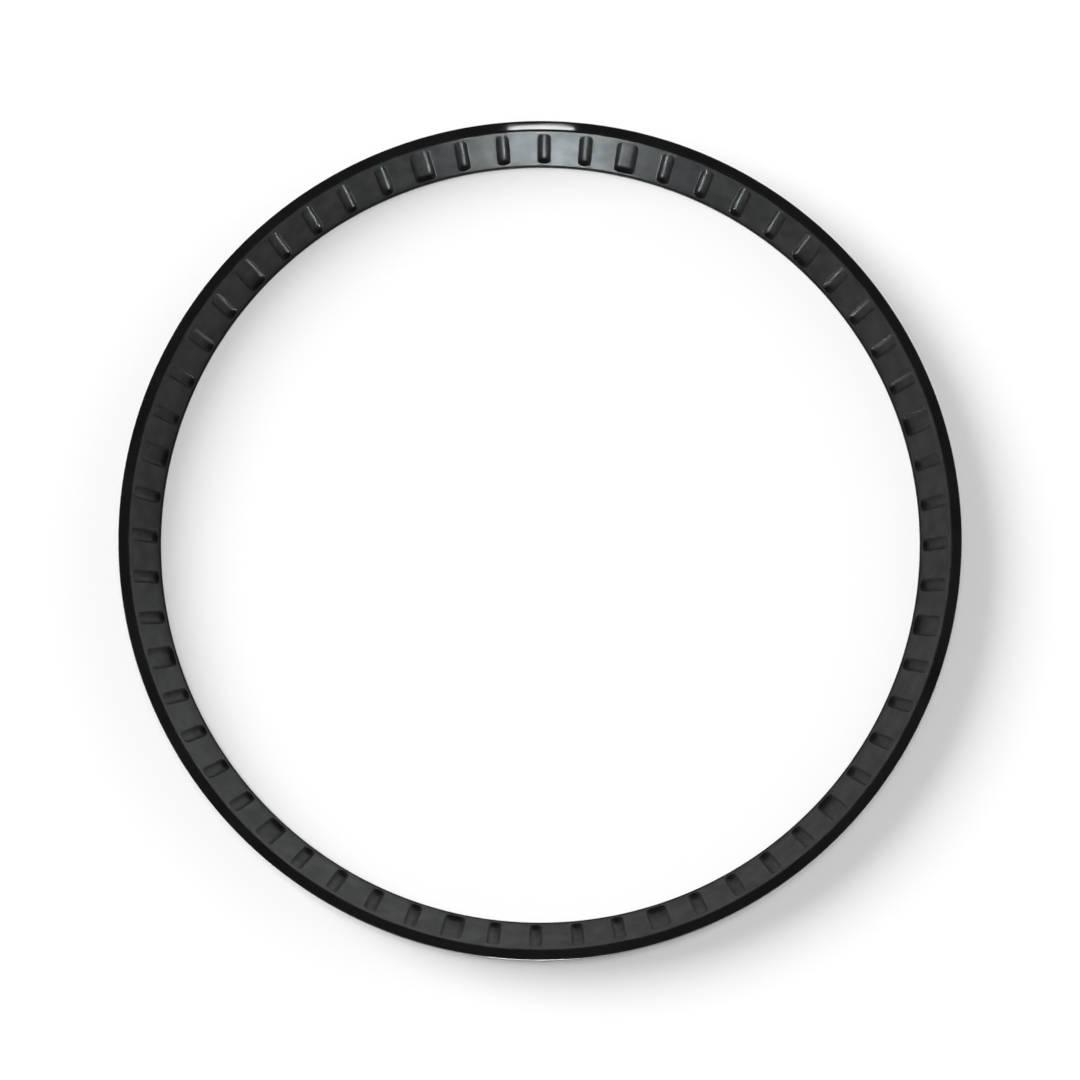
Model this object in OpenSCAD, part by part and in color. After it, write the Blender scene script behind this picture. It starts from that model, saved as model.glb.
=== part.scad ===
// Chapter ring of a wristwatch: the slanted ring between the dial and the crystal.
// One turned piece. Sixty ball-nosed grooves are cut into its slanted wall, one for each minute,
// and every fifth groove, the hour mark, is wider and has a flat floor.
// The ring lies on the dial at Z = 0, its axis is Z, and the 12 o'clock mark is at +Y.

/* [Ring] */
// Outside diameter, which drops into the bore of the watch case
outside_d = 30.8; // [30:0.1:32]
// Width of the whole ring seen from above, from the opening to the outside
ring_w = 1.42; // [1.1:0.02:1.8]
// Height from the dial to the flat rim under the crystal
height = 2.0; // [1.6:0.1:2.6]
// Width of the flat rim on top
rim_w = 0.38; // [0.25:0.01:0.5]
// Height of the upright edge that stands on the dial
inner_edge_h = 0.2; // [0.1:0.05:0.4]

/* [Marks] */
// Number of hour marks
hours = 12; // [4:1:12]
// Minutes from one hour mark to the next
minutes_per_hour = 5; // [1:1:5]
// Width of a minute groove, which is one pass of the cutter
minute_w = 0.48; // [0.36:0.02:0.6]
// Width of an hour groove, over which the same cutter moves from side to side
hour_w = 0.78; // [0.7:0.02:0.9]
// Depth of the grooves, square to the slanted wall
groove_depth = 0.15; // [0.1:0.01:0.18]
// Plain wall left below a groove, measured along the wall
lower_lip = 0.19; // [0.1:0.01:0.4]
// Plain wall left above a groove, measured along the wall
upper_lip = 0.16; // [0.1:0.01:0.4]

/* [Edges] */
// Bevel round the outside of the rim
rim_bevel = 0.05; // [0.02:0.01:0.1]
// Bevel where the rim turns down into the slanted wall
wall_bevel = 0.04; // [0.02:0.01:0.08]
// Bevel on the outside of the foot, which leads the ring into the case
foot_bevel = 0.1; // [0.05:0.01:0.2]
// Bevel on the inside of the foot
dial_bevel = 0.03; // [0.02:0.01:0.06]

/* [Locating notch] */
// Width of the notch at 3 o'clock, round the ring
notch_w = 1.2; // [0.8:0.1:2]
// Height of the notch above the dial
notch_h = 0.6; // [0.4:0.1:1]
// Depth of the notch from the outside
notch_depth = 0.4; // [0.3:0.05:0.6]

/* [Hidden] */

// Sides of the facets in the quick view
round_sides = 240;
cutter_sides = 40;
// How far a cutting shape runs past the face that it opens
past = 0.5;

outside_r = outside_d / 2;
opening_r = outside_r - ring_w;
rim_inner_r = outside_r - rim_w;

// The slanted wall runs from the top of the upright edge to the inside of the rim
wall_run = rim_inner_r - opening_r;
wall_rise = height - inner_edge_h;
wall_angle = atan2(wall_rise, wall_run);
wall_length = norm([wall_run, wall_rise]);

// A ball-nosed cutter of this radius leaves a groove of the stated width at the stated depth
cutter_r = (pow(minute_w / 2, 2) + pow(groove_depth, 2)) / (2 * groove_depth);
cutter_travel = wall_length - lower_lip - upper_lip - minute_w;
hour_floor_w = hour_w - minute_w;

marks = hours * minutes_per_hour;
mark_step = 360 / marks;

// Cross section of the ring, radius against height
function ring_section() = [
    [opening_r + dial_bevel, 0],
    [outside_r - foot_bevel, 0],
    [outside_r, foot_bevel],
    [outside_r, height - rim_bevel],
    [outside_r - rim_bevel, height],
    [rim_inner_r + wall_bevel, height],
    [rim_inner_r - wall_bevel * cos(wall_angle), height - wall_bevel * sin(wall_angle)],
    [opening_r, inner_edge_h],
    [opening_r, dial_bevel]
];

// The turned blank before any groove is cut
module ring_blank() {
    rotate_extrude($fn = round_sides)
        polygon(ring_section());
}

// What the ball-nosed cutter sweeps in one pass, seen from its side, from the origin along Y
module pass_outline() {
    circle(r = cutter_r, $fn = cutter_sides);
    translate([0, cutter_travel])
        circle(r = cutter_r, $fn = cutter_sides);
    translate([-cutter_r, 0])
        square([2 * cutter_r, cutter_travel]);
}

// One pass as a solid, along Z
module cutter_pass() {
    rotate_extrude($fn = cutter_sides)
        intersection() {
            pass_outline();
            translate([0, -2 * cutter_r])
                square([2 * cutter_r, cutter_travel + 4 * cutter_r]);
        }
}

// One groove in the wall on the +X side, with a flat floor of this width between its round sides
module groove(floor_w) {
    translate([opening_r, 0, inner_edge_h])
        rotate([0, 90 - wall_angle, 0])
            translate([groove_depth - cutter_r, 0, lower_lip + minute_w / 2]) {
                for (side = floor_w > 0 ? [-1, 1] : [0])
                    translate([0, side * floor_w / 2, 0])
                        cutter_pass();
                if (floor_w > 0)
                    rotate([90, 0, 0])
                        linear_extrude(height = floor_w, center = true)
                            pass_outline();
            }
}

// All the marks, counted clockwise from 12 o'clock
module marks_cut() {
    for (minute = [0 : marks - 1]) {
        is_hour = minute % minutes_per_hour == 0;
        rotate([0, 0, 90 - minute * mark_step])
            groove(is_hour ? hour_floor_w : 0);
    }
}

// The notch in the foot, open below and outside, which keeps the ring from turning in the case
module locating_notch() {
    translate([outside_r - notch_depth, -notch_w / 2, -past])
        cube([notch_depth + past, notch_w, notch_h + past]);
}

module chapter_ring() {
    color([0.14, 0.14, 0.145])
        difference() {
            ring_blank();
            marks_cut();
            locating_notch();
        }
}

chapter_ring();
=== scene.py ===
# %% [markdown]
# # A watch chapter ring, photographed from above
# A chapter ring is the slanted ring between the dial and the crystal of a wristwatch. This one
# is a single turned piece of metal, plated black, with sixty small grooves cut into its slanted
# wall. There is nothing to assemble, so all the work is in one surface: its true section, its
# crisp little grooves, and five finishes, four from ways of working the metal and one of painted shade.

import math

import bpy
import numpy as np
from mathutils import Matrix, Vector


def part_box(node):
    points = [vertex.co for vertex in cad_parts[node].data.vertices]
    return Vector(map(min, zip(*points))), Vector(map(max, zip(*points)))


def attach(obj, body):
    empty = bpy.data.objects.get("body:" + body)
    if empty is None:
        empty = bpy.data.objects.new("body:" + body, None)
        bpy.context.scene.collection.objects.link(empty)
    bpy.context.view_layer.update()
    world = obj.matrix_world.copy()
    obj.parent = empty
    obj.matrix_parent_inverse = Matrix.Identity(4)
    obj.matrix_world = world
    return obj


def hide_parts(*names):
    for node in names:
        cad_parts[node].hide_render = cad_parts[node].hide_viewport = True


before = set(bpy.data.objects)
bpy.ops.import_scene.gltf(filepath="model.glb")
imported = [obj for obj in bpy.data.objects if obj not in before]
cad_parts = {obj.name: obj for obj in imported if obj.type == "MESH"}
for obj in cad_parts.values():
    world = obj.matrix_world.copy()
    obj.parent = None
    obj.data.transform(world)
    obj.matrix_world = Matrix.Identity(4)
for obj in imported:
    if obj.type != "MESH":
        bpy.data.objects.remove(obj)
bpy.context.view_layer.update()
MM = 0.001

low, high = (np.array(corner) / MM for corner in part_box("chapter_ring"))
outside_r = (high[0] - low[0]) / 2
height = high[2] - low[2]
print(f"ring: {2 * outside_r:.2f} mm across, {height:.2f} mm high")

# %% [markdown]
# ## The camera
# The ring was photographed from almost straight above, with a long lens about 200 mm away. The
# camera leans a few degrees, so the far side of the slanted wall looks wider than the near side.
# Lean and distance follow from two circles at different heights, the outside of the rim and the
# opening at the dial: the lean moves their centres apart, and the distance sets how much smaller
# the lower one looks. Last, the camera is turned about its own axis, until the 12 o'clock mark
# stands where the photograph has it.

# %% Camera
IMAGE_PX = 1080
PX_PER_MM = 27.26
CAMERA_DISTANCE = 200.0
CAMERA_LEAN = 5.74
SENSOR = 36.0
NEAREST_SEEN = 0.01
FARTHEST_SEEN = 5.0
# The camera stands towards the bottom of the image, this many degrees to the right of it
LEAN_TURN = 3.94
# The 12 o'clock mark stands this many degrees to the right of the top of the image
MARKS_TURN = 12.6


def camera_axes(azimuth, elevation, roll):
    """Right, up and back vectors of a camera that looks at the origin from this side.

    Azimuth 0 stands at -Y and looks along +Y. Up starts as the direction away from the camera
    and is then turned clockwise in the image by roll. All angles are in degrees.
    """
    a, e, r = np.radians([azimuth, elevation, roll])
    back = np.array([np.sin(a) * np.cos(e), -np.cos(a) * np.cos(e), np.sin(e)])
    right = np.array([np.cos(a), np.sin(a), 0.0])
    up = np.cross(back, right)
    return right * np.cos(r) - up * np.sin(r), up * np.cos(r) + right * np.sin(r), back


right, up, back = camera_axes(MARKS_TURN + LEAN_TURN, 90 - CAMERA_LEAN, LEAN_TURN)
target = np.array([0.0, 0.0, height / 2])
eye = target + back * CAMERA_DISTANCE
camera_turn = Matrix(np.column_stack([right, up, back]).tolist()).to_4x4()

camera_data = bpy.data.cameras.new("camera")
camera_data.sensor_width = SENSOR
camera_data.lens = SENSOR * PX_PER_MM * CAMERA_DISTANCE / IMAGE_PX
camera_data.clip_start = NEAREST_SEEN
camera_data.clip_end = FARTHEST_SEEN
camera = bpy.data.objects.new("camera", camera_data)
camera.matrix_world = Matrix.Translation(eye * MM) @ camera_turn
bpy.context.scene.collection.objects.link(camera)
bpy.context.scene.camera = camera
print(f"camera: {camera_data.lens:.0f} mm lens, {IMAGE_PX / PX_PER_MM:.1f} mm across the image")

# %% [markdown]
# ## The section of the ring
# A lathe makes the blank, so one outline, turned about the axis, gives every face: the slanted
# wall, the narrow flat rim, the straight outside, the flat foot and a low upright edge that
# stands on the dial. Sharp corners never survive tumbling and plating, and a knife edge would
# catch no light, so each corner is an arc.

# %% Sizes of the section, in millimetres
RING_W = 1.42
RIM_W = 0.38
INNER_EDGE_H = 0.2
RIM_BEVEL = 0.05
WALL_BEVEL = 0.04
FOOT_BEVEL = 0.1
DIAL_BEVEL = 0.03
# The corner where the wall meets the upright edge is blunt, so its arc can be longer
EDGE_BREAK = 0.1

opening_r = outside_r - RING_W
rim_inner_r = outside_r - RIM_W
wall_foot = np.array([opening_r, INNER_EDGE_H])
wall_top = np.array([rim_inner_r, height])
wall_length = np.linalg.norm(wall_top - wall_foot)
up_wall = (wall_top - wall_foot) / wall_length
into_metal = np.array([up_wall[1], -up_wall[0]])
wall_angle = np.degrees(np.arctan2(up_wall[1], up_wall[0]))
print(f"wall: {wall_length:.2f} mm long, {wall_angle:.1f} degrees steep")


def rounded(before, corner, after, reach, steps=3):
    """Points of the arc that rounds a corner, from one tangent point to the other.

    The arc touches both sides at a distance of reach from the corner. Its points turn evenly
    about the arc's centre, from the first radius to the second.
    """
    before, corner, after = (np.asarray(p, float) for p in (before, corner, after))
    one = (before - corner) / np.linalg.norm(before - corner)
    two = (after - corner) / np.linalg.norm(after - corner)
    half = np.arccos(one @ two) / 2
    centre = corner + (one + two) / np.linalg.norm(one + two) * reach / np.cos(half)
    first = corner + one * reach - centre
    last = corner + two * reach - centre
    turn = np.pi - 2 * half
    share = np.linspace(0, 1, steps + 1)[:, None]
    return centre + (np.sin((1 - share) * turn) * first + np.sin(share * turn) * last) / np.sin(turn)


# %% [markdown]
# ## The grooves
# A small ball-nosed cutter runs up the wall sixty times. A minute is one pass, and for an hour
# the cutter also moves sideways, which leaves a flat floor. A boolean of that many cutters would
# leave long thin triangles, so the surface is worked out instead: at each point of the wall, the
# depth follows from the distance to the cutter's path, and the edges are eased as plating eases
# them. The tip of such a cutter wears first, so a groove is flatter in the middle than a true
# arc, by no more than about five thousandths of a millimetre. That is enough to make the streak
# of light in it broader.

# %% Sizes and depth of the grooves, in millimetres
HOURS = 12
MINUTES_PER_HOUR = 5
MINUTE_W = 0.48
HOUR_W = 0.78
GROOVE_DEPTH = 0.15
LOWER_LIP = 0.19
UPPER_LIP = 0.16
EASE = 0.006
TIP_WEAR = 2.5

marks = HOURS * MINUTES_PER_HOUR
mark_step = 2 * np.pi / marks
cutter_r = ((MINUTE_W / 2) ** 2 + GROOVE_DEPTH**2) / (2 * GROOVE_DEPTH)
hour_floor_half = (HOUR_W - MINUTE_W) / 2
path_low = LOWER_LIP + MINUTE_W / 2
path_high = wall_length - UPPER_LIP - MINUTE_W / 2
print(f"cutter: ball of {cutter_r:.3f} mm radius, travels {path_high - path_low:.2f} mm up the wall")


def groove_depth(s, t, floor_half):
    """Depth of a groove at a distance s up the wall and t to the side of its middle.

    The cutter's tip moves over a flat strip, floor_half to either side, and its reach below the
    wall falls with the distance to the nearest point of that strip. With TIP_WEAR at 2 its
    section would be a parabola, close to the arc of a new ball, and above 2 it is flatter in
    the middle. The square root eases the edge of the groove over about the width EASE.
    """
    distance = np.hypot(s - np.clip(s, path_low, path_high), t - np.clip(t, -floor_half, floor_half))
    reach = GROOVE_DEPTH * (1 - (distance / (MINUTE_W / 2)) ** TIP_WEAR)
    eased = (reach + np.hypot(reach, EASE)) / 2
    return eased - eased.min()


# %% [markdown]
# ## Rows and columns of the surface
# The surface is a grid that closes on itself both ways: rows follow the section, and columns
# stand round the ring. Rows crowd where the ball turns at the two ends of a groove, and columns
# crowd across it, both spaced evenly round the ball, so the faces go where the shape bends, and
# the flat land gets only what it needs. Columns keep a fixed distance from the middle of their
# groove, because a cutter leaves parallel sides, not radial ones.

# %% Rows on the wall
BALL_STEPS = 9
FLOOR_STEPS = 3
# How far a row of support stands from an edge, to keep the shading of the flat beside it even
SUPPORT = 0.03

# Distances from the middle of the ball's path to one side: even steps round the ball, the eased
# edge and a row of support
ball_turn = np.arcsin(MINUTE_W / 2 / cutter_r)
ball_arc = cutter_r * np.sin(np.linspace(0, ball_turn, BALL_STEPS))
ball = np.concatenate([ball_arc[:-1], ball_arc[-1] + np.array([-EASE, 0, EASE, SUPPORT])])

wall_rows = np.concatenate([
    [EDGE_BREAK, EDGE_BREAK + SUPPORT],
    path_low - ball[::-1],
    np.linspace(path_low, path_high, FLOOR_STEPS + 1)[1:-1],
    path_high + ball,
    [wall_length - WALL_BEVEL - SUPPORT, wall_length - WALL_BEVEL],
])
wall_points = wall_foot + wall_rows[:, None] * up_wall
print(f"wall: {len(wall_rows)} rows")

# %% [markdown]
# The other rows follow the rim, the outside, the foot and the upright edge. In the foot, at 3
# o'clock, is a notch that keeps the ring from turning in the case. A milling cutter makes it,
# and here the rows near the foot have a second section, which steps back to the notch's floor.
# The notch's edges are two rows or two columns a hairline apart, so that they look square.

# %% Rows of the whole section
NOTCH_W = 1.2
NOTCH_H = 0.6
NOTCH_DEPTH = 0.4
HAIRLINE = 0.004

rim_edge = np.array([outside_r, height])
foot_edge = np.array([outside_r, 0.0])
dial_edge = np.array([opening_r, 0.0])
top_arc = rounded(wall_foot, wall_top, rim_edge, WALL_BEVEL)
rim_arc = rounded(wall_top, rim_edge, foot_edge, RIM_BEVEL)
foot_arc = rounded(rim_edge, foot_edge, dial_edge, FOOT_BEVEL)
dial_arc = rounded(foot_edge, dial_edge, wall_foot, DIAL_BEVEL)
edge_arc = rounded(dial_edge, wall_foot, wall_top, EDGE_BREAK)
along = np.array([1.0, 0.0])
upward = np.array([0.0, 1.0])

parts = [
    ("wall", wall_points),
    ("wall", top_arc[1:-1]),
    ("rim", top_arc[-1:]),
    ("rim", top_arc[-1:] + SUPPORT * along),
    ("rim", rim_arc[:1] - SUPPORT * along),
    ("rim", rim_arc),
    ("outside", rim_arc[-1:] - SUPPORT * upward),
    ("outside", np.array([[outside_r, NOTCH_H + SUPPORT], [outside_r, NOTCH_H]])),
    ("notch", np.array([[outside_r, NOTCH_H - HAIRLINE]])),
    ("notch", foot_arc[:1] + SUPPORT * upward),
    ("notch", foot_arc),
    ("notch", foot_arc[-1:] - SUPPORT * along),
    ("notch", np.array([[outside_r - NOTCH_DEPTH, 0.0]])),
    ("foot", dial_arc[:1] + SUPPORT * along),
    ("foot", dial_arc),
    ("edge", dial_arc[-1:] + SUPPORT * upward),
    ("edge", edge_arc[:-1]),
]
plain = np.concatenate([part_rows for _, part_rows in parts])
row_part = np.repeat([name for name, _ in parts], [len(part_rows) for _, part_rows in parts])
in_notch = row_part == "notch"
notched = plain.copy()
notched[in_notch, 0] = outside_r - NOTCH_DEPTH
notched[in_notch, 1] = np.linspace(NOTCH_H, 0, in_notch.sum())
print(f"section: {len(plain)} rows, {in_notch.sum()} of them in the notch")

# %% [markdown]
# A sector of six degrees holds one mark. Its columns are written once for a minute and once for
# an hour, as distances from the middle of the groove, and repeated round the ring. Between two
# grooves three columns are spread by angle instead, so that the land stays round.

# %% Columns round the ring
NOTCH_MARK = 3 * MINUTES_PER_HOUR
# Columns on the land, as shares of the way from the groove's last column to the next border
LAND_SHARES = np.array([1 / 2])


def sector(floor_half, notch_edges):
    """Distances across one sector, and how far each column has gone over from distance to angle.

    Half a groove is half its flat floor, the arc of the ball and the edges of a notch, if there
    is one, and the other half is its mirror image. A column with share 0 stays at its distance,
    and one with share 1 is on the next border.
    """
    half = np.concatenate([[0.0] * (floor_half > 0), floor_half + ball, notch_edges])
    distances = np.concatenate([-half[:0:-1], half])
    ends = np.full(len(LAND_SHARES), distances[-1])
    across = np.concatenate([-ends, distances, ends, ends[:1]])
    share = np.concatenate([-LAND_SHARES[::-1], np.zeros(len(distances)), LAND_SHARES, [1]])
    return across, share


def columns_of(mark):
    """Columns of one mark's sector: its middle, the distances, shares, notch and half floor."""
    floor_half = hour_floor_half if mark % MINUTES_PER_HOUR == 0 else 0.0
    over_notch = mark == NOTCH_MARK
    across, share = sector(floor_half, [NOTCH_W / 2 - HAIRLINE, NOTCH_W / 2] if over_notch else [])
    cut = over_notch & (share == 0) & (np.abs(across) < NOTCH_W / 2 - HAIRLINE / 2)
    middle = np.full(len(across), mark * mark_step)
    return np.stack([middle, across, share, cut, np.full(len(across), floor_half)])


columns = np.concatenate([columns_of(mark) for mark in range(marks)], axis=1)
middle, across, share, cut, floor_half = columns
print(f"columns: {len(middle)}")

# %% [markdown]
# ## The surface itself
# A Screw modifier could turn the section into a plain ring, but it couldn't cut the grooves. So
# every point starts on the section, at its column's angle, and on the wall it then sinks into
# the metal by the depth of the groove there, square to the wall.

# %% Points and faces
section = np.where(cut[None, :, None] > 0, notched[:, None, :], plain[:, None, :])
clockwise = middle + (1 - np.abs(share)) * across / section[..., 0] + share * mark_step / 2
angle = np.pi / 2 - clockwise
depth = np.zeros(section.shape[:2])
depth[: len(wall_rows)] = groove_depth(wall_rows[:, None], across[None, :], floor_half[None, :])
section = section + depth[..., None] * into_metal
radius = section[..., 0]
points = np.stack([radius * np.cos(angle), radius * np.sin(angle), section[..., 1]], axis=-1)
vertices = points.reshape(-1, 3)


def grid_faces(rows, count):
    """Corners of the four-sided faces of a grid that closes on itself along rows and columns."""
    index = np.arange(rows * count).reshape(rows, count)
    above = np.roll(index, -1, axis=0)
    return np.stack([index, np.roll(index, -1, axis=1), np.roll(above, -1, axis=1), above], axis=-1)


def enclosed_volume(points, faces):
    """Volume inside closed four-sided faces, which is positive where they face outwards.

    It is the sum of the tetrahedra from the origin to the two triangles of each face.
    """
    a, b, c, d = (points[faces[:, k]] for k in range(4))
    return (np.einsum("ij,ij->", a, np.cross(b, c)) + np.einsum("ij,ij->", a, np.cross(c, d))) / 6


faces = grid_faces(*section.shape[:2])
volume = enclosed_volume(vertices, faces.reshape(-1, 4))
print(f"surface: {len(vertices)} points, {volume:.1f} cubic mm")

# %% [markdown]
# ## Where the edges wear, and the painted shade at the foot
# Plating on a raised edge is rubbed first, by the case when the ring goes in and by the cloth
# when it is wiped. So the surface carries a number for wear at each point: 1 on the two edges of
# the rim and on the foot's outer edge, fading over a few hundredths of a millimetre. A second
# number, for painted shade, is 1 at the foot of the wall and fades to 0 a third of a millimetre
# above it: there the wall's mirror is made weaker, which paints the shade at the foot of the
# wall. Painting these by hand would be slower, and numbers follow the section when its sizes change.

# %% Wear and shelter
# How far the wear reaches past the worn edge, and how far the painted shade reaches up the wall
WEAR_MM = 0.04
FOOT_SHADE_MM = 0.35

worn_corners = np.array([wall_top, rim_edge, foot_edge])
to_corner = np.linalg.norm(plain[:, None] - worn_corners, axis=-1).min(axis=1)
row_marks = {
    "wear": np.exp(-np.maximum(to_corner - WALL_BEVEL, 0) / WEAR_MM),
    # painted shade: 1 at the foot of the wall, fading to 0 higher up
    "painted_foot_shade": np.clip(1 - (plain[:, 1] - INNER_EDGE_H) / FOOT_SHADE_MM, 0, 1) * (row_part == "wall"),
}
point_marks = {name: np.repeat(row_value, section.shape[1]) for name, row_value in row_marks.items()}
for name, row_value in row_marks.items():
    print(f"{name}: over half on {(row_value > 0.5).sum()} of {len(row_value)} rows")

# %% [markdown]
# ## Finishes
# The whole ring has one black plating, a few thousandths of a millimetre thick, so its colour is
# the same everywhere, and what tells the faces apart is how the metal under it was worked. The
# layer reflects weakly and without a tint, as enamel does, so its shader isn't metallic. Each
# finish is that plating with its own strength of mirror, roughness and fine grain, and all of
# them read the object's own coordinates, so that a pattern stays on the metal.

# %% Helpers for materials


def linear(hex_colour):
    """Linear RGBA of an sRGB hex colour, by the standard curve."""
    c = np.array([int(hex_colour[i : i + 2], 16) for i in (1, 3, 5)]) / 255
    return (*np.where(c <= 0.04045, c / 12.92, ((c + 0.055) / 1.055) ** 2.4), 1.0)


def add_node(tree, kind, inputs, **settings):
    """Adds a node. An input is a value, or a pair of a node and the name of its output."""
    node = tree.nodes.new(kind)
    for name, value in settings.items():
        setattr(node, name, value)
    for name, value in inputs.items():
        if isinstance(value, tuple) and isinstance(value[0], bpy.types.Node):
            tree.links.new(value[0].outputs[value[1]], node.inputs[name])
        else:
            node.inputs[name].default_value = value
    return node


def new_material(name):
    """A material with an empty node tree."""
    material = bpy.data.materials.new(name)
    material.use_nodes = True
    material.node_tree.nodes.clear()
    return material, material.node_tree


PLATING = "#0d0d0e"
WORN_PLATING = "#171719"
print(f"plating: {PLATING} is {linear(PLATING)[0]:.4f} in linear light")

# %% [markdown]
# Two kinds of grain lie under the plating. Blasting with grit leaves the same small pits in
# every direction, which is plain noise. A lathe leaves rings, and those are noise too, but it is
# looked up by radius and height alone, so it is the same all the way round. Modelling either as
# real dents would take millions of faces, and a bump map gives the eye the same sheen.

# %% Grain of the metal
GRAIN_DETAIL = 2.0


def grain_noise(tree, vector, size_mm):
    """Noise whose lumps are about this size."""
    noise = add_node(
        tree, "ShaderNodeTexNoise",
        {"Vector": vector, "Scale": 1 / (size_mm * MM), "Detail": GRAIN_DETAIL},
    )
    return noise, "Fac"


def grit(tree, place, size_mm):
    """Grit blasting: an even noise of this size in every direction."""
    return grain_noise(tree, (place, "Object"), size_mm)


def lathe_lines(tree, place, size_mm):
    """Turning marks: noise that changes with the radius and the height, and not round the ring."""
    split = add_node(tree, "ShaderNodeSeparateXYZ", {"Vector": (place, "Object")})
    flat = add_node(tree, "ShaderNodeCombineXYZ", {"X": (split, "X"), "Y": (split, "Y")})
    radius = add_node(tree, "ShaderNodeVectorMath", {0: (flat, "Vector")}, operation="LENGTH")
    lines = add_node(tree, "ShaderNodeCombineXYZ", {"X": (radius, "Value"), "Y": (split, "Z")})
    return grain_noise(tree, (lines, "Vector"), size_mm)


print(f"grain: noise with {GRAIN_DETAIL:.0f} finer layers")

# %% [markdown]
# No plating is perfectly even. Its mirror and its roughness wander a little over small patches,
# each with its own channel of one coloured noise. Where the wear is high the black turns greyer
# and shinier, in patches as well, and where the painted shade at the foot of the wall is high the
# mirror is weaker. One function holds all of this, because the five finishes differ only in their
# numbers.

# %% Black plating
MOTTLE_DETAIL = 3.0
# Nearly all of the noise lies between these two values
MOTTLE_FROM = 0.35
MOTTLE_TO = 0.65
# How much the mirror wanders, as a share of itself
MIRROR_SPREAD = 0.2
# What full wear and full painted shade add to the mirror
WEAR_SHINE = 0.08
FOOT_SHADE_DIMMING = -0.09


def mottled(tree, mottle, channel, middle, spread):
    """A value that wanders by spread about its middle, with one channel of the mottling."""
    wandering = add_node(
        tree, "ShaderNodeMapRange",
        {"Value": (mottle, channel), "From Min": MOTTLE_FROM, "From Max": MOTTLE_TO,
         "To Min": middle - spread, "To Max": middle + spread},
    )
    return wandering, "Result"


def plating(name, mirror, roughness, spread, mottle_mm, grain, grain_mm, grain_depth_mm):
    """Black plating over one way of working the metal.

    Mirror is the strength of its reflection, which wanders by MIRROR_SPREAD of itself, and
    roughness wanders by spread, both over patches of mottle_mm. Grain is a function that builds
    the fine pattern from the object's coordinates, and it stands grain_depth_mm high.
    """
    material, tree = new_material(name)
    place = add_node(tree, "ShaderNodeTexCoord", {})
    noise = add_node(
        tree, "ShaderNodeTexNoise",
        {"Vector": (place, "Object"), "Scale": 1 / (mottle_mm * MM), "Detail": MOTTLE_DETAIL},
    )
    mottle = add_node(tree, "ShaderNodeSeparateColor", {"Color": (noise, "Color")})
    worn = add_node(tree, "ShaderNodeAttribute", {}, attribute_name="wear")
    rubbed = add_node(
        tree, "ShaderNodeMath",
        {0: (worn, "Fac"), 1: mottled(tree, mottle, "Blue", middle=0.5, spread=0.5)},
        operation="MULTIPLY",
    )
    colour = add_node(
        tree, "ShaderNodeMix",
        {"Factor": (rubbed, "Value"), "A": linear(PLATING), "B": linear(WORN_PLATING)},
        data_type="RGBA",
    )
    plain_mirror = mottled(tree, mottle, "Green", mirror, MIRROR_SPREAD * mirror)
    polish = add_node(
        tree, "ShaderNodeMath",
        {0: (rubbed, "Value"), 1: WEAR_SHINE, 2: plain_mirror}, operation="MULTIPLY_ADD",
    )
    # Painted shade: the mirror is made weaker towards the foot of the wall
    foot_shade_mark = add_node(tree, "ShaderNodeAttribute", {}, attribute_name="painted_foot_shade")
    dulled = add_node(
        tree, "ShaderNodeMath",
        {0: (foot_shade_mark, "Fac"), 1: FOOT_SHADE_DIMMING, 2: (polish, "Value")}, operation="MULTIPLY_ADD",
    )
    bump = add_node(
        tree, "ShaderNodeBump",
        {"Height": grain(tree, place, grain_mm), "Strength": 1.0, "Distance": grain_depth_mm * MM},
    )
    shader = add_node(
        tree, "ShaderNodeBsdfPrincipled",
        {"Base Color": (colour, "Result"), "Roughness": mottled(tree, mottle, "Red", roughness, spread),
         "Specular IOR Level": (dulled, "Value"), "Normal": (bump, "Normal")},
    )
    add_node(tree, "ShaderNodeOutputMaterial", {"Surface": (shader, "BSDF")})
    return material


# %% [markdown]
# Four ways of working the metal give four finishes, and a fifth, dull one on the low edge round
# the opening paints shade at the foot of the wall. The order of the work is blasting the wall,
# milling the grooves into it, lapping the rim, and plating it all at the end.

# %% Five finishes of black plating

# Blasted with fine grit: satin, and slightly mottled where the grit struck harder
blasted = plating(
    "blasted_black_plating", mirror=0.24, roughness=0.41, spread=0.03, mottle_mm=0.6,
    grain=grit, grain_mm=0.05, grain_depth_mm=0.0015,
)
# Milled grooves: rougher than the wall, which spreads the streak of light in each of them
milled = plating(
    "milled_black_plating", mirror=0.3, roughness=0.49, spread=0.02, mottle_mm=0.4,
    grain=grit, grain_mm=0.04, grain_depth_mm=0.0015,
)
# Lapped flat and polished: a dark mirror of what is above the ring
polished = plating(
    "polished_black_plating", mirror=0.5, roughness=0.05, spread=0.015, mottle_mm=1.5,
    grain=lathe_lines, grain_mm=0.03, grain_depth_mm=0.00001,
)
# Turned and left so: a soft sheen in fine rings, drawn broader than a real lathe's so that they show
turned = plating(
    "turned_black_plating", mirror=0.4, roughness=0.22, spread=0.02, mottle_mm=0.4,
    grain=lathe_lines, grain_mm=0.12, grain_depth_mm=0.002,
)
# The low edge round the opening, made dull so that it mirrors next to nothing: painted shade at the
# foot of the wall
shaded_low_edge = plating(
    "shaded_low_edge_plating", mirror=0.05, roughness=0.5, spread=0.05, mottle_mm=0.5,
    grain=grit, grain_mm=0.04, grain_depth_mm=0.002,
)
finishes = {"wall": blasted, "groove": milled, "rim": polished, "outside": turned, "edge": shaded_low_edge}
print(f"finishes: {', '.join(finish.name for finish in finishes.values())}")

# %% [markdown]
# ## The ring
# A face on the wall that lies below the blasted surface was cut by the mill, so the depth tells
# the two finishes apart, and every other face takes the finish of its row. The whole surface is
# then written into one mesh, which stands in for the solid ring.

# %% The ring's mesh
SHARP_ANGLE = 50
# Faces that lie deeper than this, in millimetres, belong to a groove
GROOVE_FROM = 0.0025
TURNED_PARTS = ("outside", "notch", "foot")


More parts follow.
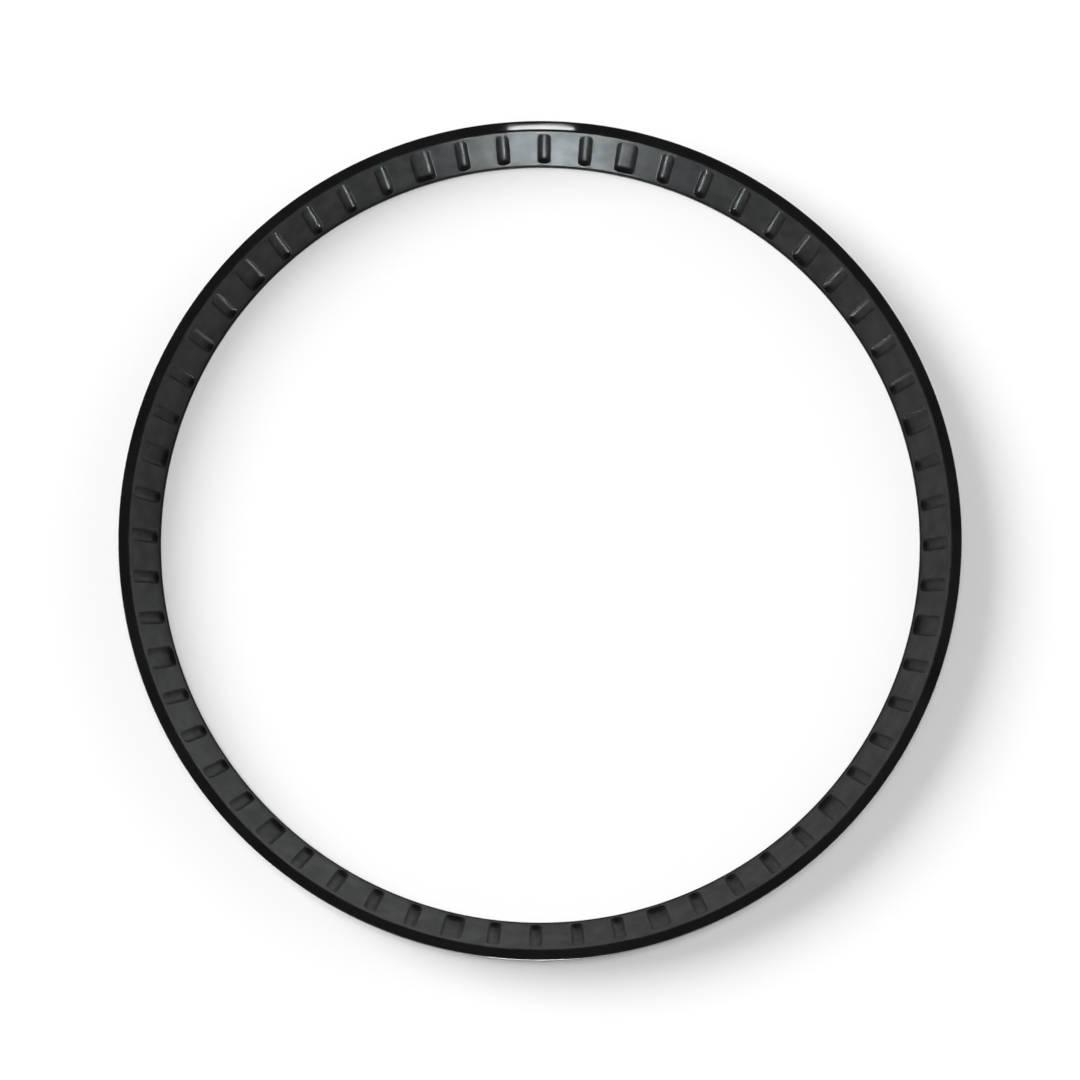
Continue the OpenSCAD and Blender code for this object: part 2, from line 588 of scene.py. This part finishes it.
def mesh_piece(name, points, faces, materials, material_of_face, point_marks):
    """A mesh object at the origin, written in whole arrays, smooth except at sharp corners.

    Point marks are named arrays of one number for each point, which the materials read.
    """
    mesh = bpy.data.meshes.new(name)
    mesh.vertices.add(len(points))
    mesh.vertices.foreach_set("co", (points * MM).astype(np.float32).ravel())
    mesh.loops.add(faces.size)
    mesh.loops.foreach_set("vertex_index", faces.astype(np.int32).ravel())
    mesh.polygons.add(len(faces))
    mesh.polygons.foreach_set("loop_start", np.arange(0, faces.size, faces.shape[1], dtype=np.int32))
    for material in materials:
        mesh.materials.append(material)
    mesh.polygons.foreach_set("material_index", material_of_face.astype(np.int32))
    for mark, values in point_marks.items():
        mesh.attributes.new(mark, "FLOAT", "POINT").data.foreach_set("value", values.astype(np.float32))
    mesh.update(calc_edges=True)
    mesh.validate()
    mesh.shade_smooth()
    mesh.set_sharp_from_angle(angle=math.radians(SHARP_ANGLE))
    piece = bpy.data.objects.new(name, mesh)
    bpy.context.scene.collection.objects.link(piece)
    return piece


finish_number = {finish: number for number, finish in enumerate(finishes)}
finish_of_row = np.array([
    finish_number["outside" if part in TURNED_PARTS else part] for part in row_part
])
in_groove = depth.ravel()[faces].mean(axis=-1) > GROOVE_FROM
finish_of_face = np.where(in_groove, finish_number["groove"], finish_of_row[:, None])
ring = mesh_piece(
    "chapter_ring_surface", vertices, faces.reshape(-1, 4), list(finishes.values()),
    finish_of_face.ravel(), point_marks,
)
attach(ring, "root")
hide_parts("chapter_ring")
print(f"mesh: {len(ring.data.polygons)} faces, {in_groove.sum()} of them in grooves")

# %% [markdown]
# ## The table
# The ring lies on a sheet of white acrylic. The slanted wall faces the table, so most of what
# its satin shows is the table, and the gloss of the acrylic, in turn, shows the lamps. To the
# camera itself the table is matt: seen from the side, its gloss would hold hard white images of
# the lamps beside the ring. From below, and for a ray that starts almost on it, the sheet is
# clear, so that the ring's foot can be looked at. It lies a hair under the foot, because two
# faces at the same height flicker.

# %% Table
TABLE_SIZE = 4000.0
TABLE_GAP = 0.005
# A ray that meets the table after less than this, in millimetres, goes through it
TABLE_REACH = 0.02
TABLE_COLOUR = "#f4f4f4"
TABLE_ROUGHNESS = 0.15
TABLE_GLOSS = 0.5
# The acrylic glows faintly from within, which lifts its white
TABLE_GLOW = 0.05
WHITE = (1.0, 1.0, 1.0, 1.0)

table, tree = new_material("white_acrylic_table")
path = add_node(tree, "ShaderNodeLightPath", {})
seen = add_node(
    tree, "ShaderNodeMath", {0: (path, "Is Camera Ray"), 1: (path, "Is Glossy Ray")}, operation="ADD",
)
glow = add_node(tree, "ShaderNodeMath", {0: (seen, "Value"), 1: TABLE_GLOW}, operation="MULTIPLY")
gloss = add_node(
    tree, "ShaderNodeMath",
    {0: (path, "Is Camera Ray"), 1: -TABLE_GLOSS, 2: TABLE_GLOSS}, operation="MULTIPLY_ADD",
)
acrylic = add_node(
    tree, "ShaderNodeBsdfPrincipled",
    {"Base Color": linear(TABLE_COLOUR), "Roughness": TABLE_ROUGHNESS,
     "Specular IOR Level": (gloss, "Value"),
     "Emission Color": WHITE, "Emission Strength": (glow, "Value")},
)
side_seen = add_node(tree, "ShaderNodeNewGeometry", {})
touching = add_node(
    tree, "ShaderNodeMath", {0: (path, "Ray Length"), 1: TABLE_REACH * MM}, operation="LESS_THAN",
)
open_below = add_node(
    tree, "ShaderNodeMath", {0: (side_seen, "Backfacing"), 1: (touching, "Value")}, operation="MAXIMUM",
)
clear = add_node(tree, "ShaderNodeBsdfTransparent", {})
sheet = add_node(
    tree, "ShaderNodeMixShader",
    {"Fac": (open_below, "Value"), 1: (acrylic, "BSDF"), 2: (clear, "BSDF")},
)
add_node(tree, "ShaderNodeOutputMaterial", {"Surface": (sheet, "Shader")})

square = np.array([[-1, -1, 0], [1, -1, 0], [1, 1, 0], [-1, 1, 0]])
corners = square * TABLE_SIZE / 2 - [0, 0, TABLE_GAP]
floor = mesh_piece("table_top", corners, np.array([[0, 1, 2, 3]]), [table], np.zeros(1), {})
print(f"table: {TABLE_SIZE * MM:.0f} m wide, {TABLE_GAP} mm below the foot")

# %% [markdown]
# ## The light tent
# Small shiny things are photographed in a tent of white cloth, which is bright all round and
# open at the top, where the camera looks in. So the flat rim and the round ends of the grooves,
# which look upwards, mirror a dark ceiling. A sky that goes from bright at the horizon to dim
# overhead does this with no cloth to build. The camera's own rays see plain white in every
# direction, which gives the white background and adds no light to the ring.

# %% World
HORIZON = 1.0
OVERHEAD = 0.09
# Heights of the sky, as the sine of the elevation, between which it goes from one to the other
HORIZON_TO = 0.1
OVERHEAD_FROM = 0.5

world = bpy.data.worlds.new("light_tent")
bpy.context.scene.world = world
world.use_nodes = True
tree = world.node_tree
tree.nodes.clear()
place = add_node(tree, "ShaderNodeTexCoord", {})
split = add_node(tree, "ShaderNodeSeparateXYZ", {"Vector": (place, "Generated")})
sky = add_node(
    tree, "ShaderNodeMapRange",
    {"Value": (split, "Z"), "From Min": HORIZON_TO, "From Max": OVERHEAD_FROM,
     "To Min": HORIZON, "To Max": OVERHEAD},
)
path = add_node(tree, "ShaderNodeLightPath", {})
backdrop = add_node(
    tree, "ShaderNodeMath", {0: (sky, "Result"), 1: (path, "Is Camera Ray")}, operation="MAXIMUM",
)
sky_shader = add_node(tree, "ShaderNodeBackground", {"Strength": (backdrop, "Value")})
add_node(tree, "ShaderNodeOutputWorld", {"Surface": (sky_shader, "Background")})
bpy.context.scene.view_settings.view_transform = "Standard"
print(f"tent: {HORIZON} at the horizon, {OVERHEAD} overhead")

# %% [markdown]
# ## The soft lamps
# A broad lamp at the upper left throws the short soft shadow to the lower right. A weak one at
# the right and one overhead fill it in. Each is a sun with a wide disc, which lights the ring
# and the table evenly and needs no place. They are kept out of mirrors, because the satin wall
# would show each disc as a hot spot, and what it should show is the tent and the table.

# %% Soft lamps


def image_direction(turn, elevation):
    """Unit vector towards a lamp, from its turn clockwise from the image's top and its elevation."""
    t, e = np.radians([MARKS_TURN - turn + 90, elevation])
    return np.array([np.cos(t) * np.cos(e), np.sin(t) * np.cos(e), np.sin(e)])


def lamp(name, kind, towards, distance=0.0, aim=(0, 0, 0), **settings):
    """A lamp that faces aim from this direction and distance, with its settings."""
    data = bpy.data.lights.new(name, kind)
    for key, value in settings.items():
        setattr(data, key, value)
    lamp_object = bpy.data.objects.new(name, data)
    facing = Vector(towards).to_track_quat("Z", "Y").to_matrix().to_4x4()
    lamp_object.matrix_world = Matrix.Translation((np.array(aim) + towards * distance) * MM) @ facing
    bpy.context.scene.collection.objects.link(lamp_object)
    return lamp_object


def soft_lamp(name, turn, elevation, disc, energy):
    """A sun whose disc is this many degrees wide, hidden from mirrors."""
    sun = lamp(name, "SUN", image_direction(turn, elevation), energy=energy, angle=math.radians(disc))
    sun.visible_glossy = False
    return sun


soft_lamps = [
    soft_lamp("key", turn=-66, elevation=40, disc=38, energy=2.34),
    soft_lamp("side", turn=70, elevation=35, disc=40, energy=0.35),
    soft_lamp("fill", turn=0, elevation=90, disc=15, energy=1.29),
]
print(f"soft lamps: {', '.join(f'{sun.name} {sun.data.energy:.2f}' for sun in soft_lamps)}")

# %% [markdown]
# ## The panels that the table mirrors
# The far side of the wall is bright, and its brightness falls off quickly to both sides. It
# mirrors the table inside the ring, which mirrors the near side of the tent, so three bright
# strips stand there, one above the other, with a wide and weak panel about them. Another weak
# panel at the upper right does the same for the wall at the lower left. They are there for
# these mirror images alone: they light nothing but the table, and only its gloss shows them.

# %% Strips and panels
PANEL_DISTANCE = 300.0
PANEL_TINT = (0.9, 1.0, 1.03)

only_table = bpy.data.collections.new("only_the_table")
only_table.objects.link(floor)


def power(level, area):
    """Power of a flat lamp that has this level of brightness on every part of its area."""
    return level * math.pi * area


def panel(name, turn, half_width, lowest, highest, level):
    """A flat lamp in the tent, which the table's gloss alone shows.

    Its middle is turned clockwise from the image's top, and it spans half_width degrees to both
    sides and the elevations from lowest to highest.
    """
    half_height = (highest - lowest) / 2
    half_angles = (half_width, half_height)
    width, tall = (2 * PANEL_DISTANCE * math.tan(math.radians(half)) * MM for half in half_angles)
    flat_lamp = lamp(
        name, "AREA", image_direction(turn, lowest + half_height), PANEL_DISTANCE, shape="RECTANGLE",
        color=PANEL_TINT, size=width, size_y=tall, energy=power(level, width * tall),
    )
    flat_lamp.visible_diffuse = False
    flat_lamp.visible_camera = False
    flat_lamp.light_linking.receiver_collection = only_table
    return flat_lamp


panels = [
    panel("low_strip", turn=182, half_width=6, lowest=6, highest=23, level=210.0),
    panel("middle_strip", turn=184, half_width=9, lowest=23, highest=38, level=86.0),
    panel("high_strip", turn=190, half_width=14, lowest=38, highest=64, level=10.0),
    panel("wide_panel", turn=184, half_width=30, lowest=10, highest=34, level=3.0),
    panel("far_panel", turn=40, half_width=35, lowest=8, highest=30, level=6.0),
]
print(f"panels: {', '.join(f'{each.name} {each.data.size:.2f} m wide' for each in panels)}")

# %% [markdown]
# ## The glint on the rim
# A small oval lamp hangs over the far side of the ring. The polished rim mirrors it there as a
# white lens, so the lamp stands where the camera's line of sight goes on after the rim, and it
# is as much larger than its image as it is farther away. It lights nothing but the ring. White
# paint on the rim would stay there from every side, and a mirror image moves as a real one does.

# %% Glint
GLINT_PX = np.array([541.0, 129.0])
GLINT_ROLL = -2.2
GLINT_MM = np.array([2.45, 0.3])
GLINT_DISTANCE = 12.0
GLINT_LEVEL = 20.0
# The rim is level, so it turns over the upright part of a ray
LEVEL_MIRROR = np.array([1, 1, -1])

only_ring = bpy.data.collections.new("only_the_ring")
only_ring.objects.link(ring)

pixel = (GLINT_PX - IMAGE_PX / 2) / (PX_PER_MM * CAMERA_DISTANCE)
sight = right * pixel[0] - up * pixel[1] - back
on_rim = eye + sight * (height - eye[2]) / sight[2]
mirrored = sight * LEVEL_MIRROR / np.linalg.norm(sight)
spread = 1 + GLINT_DISTANCE / np.linalg.norm(on_rim - eye)
glint_w, glint_h = GLINT_MM * spread * MM
glint = lamp(
    "glint", "AREA", mirrored, GLINT_DISTANCE, on_rim, shape="ELLIPSE", size=glint_w, size_y=glint_h,
    energy=power(GLINT_LEVEL, math.pi / 4 * glint_w * glint_h),
)
glint.matrix_world = glint.matrix_world @ Matrix.Rotation(math.radians(GLINT_ROLL), 4, "Z")
glint.visible_diffuse = False
glint.visible_camera = False
glint.light_linking.receiver_collection = only_ring
print(f"glint: at {np.round(on_rim, 2)} mm on the rim, radius {np.hypot(on_rim[0], on_rim[1]):.2f} mm")
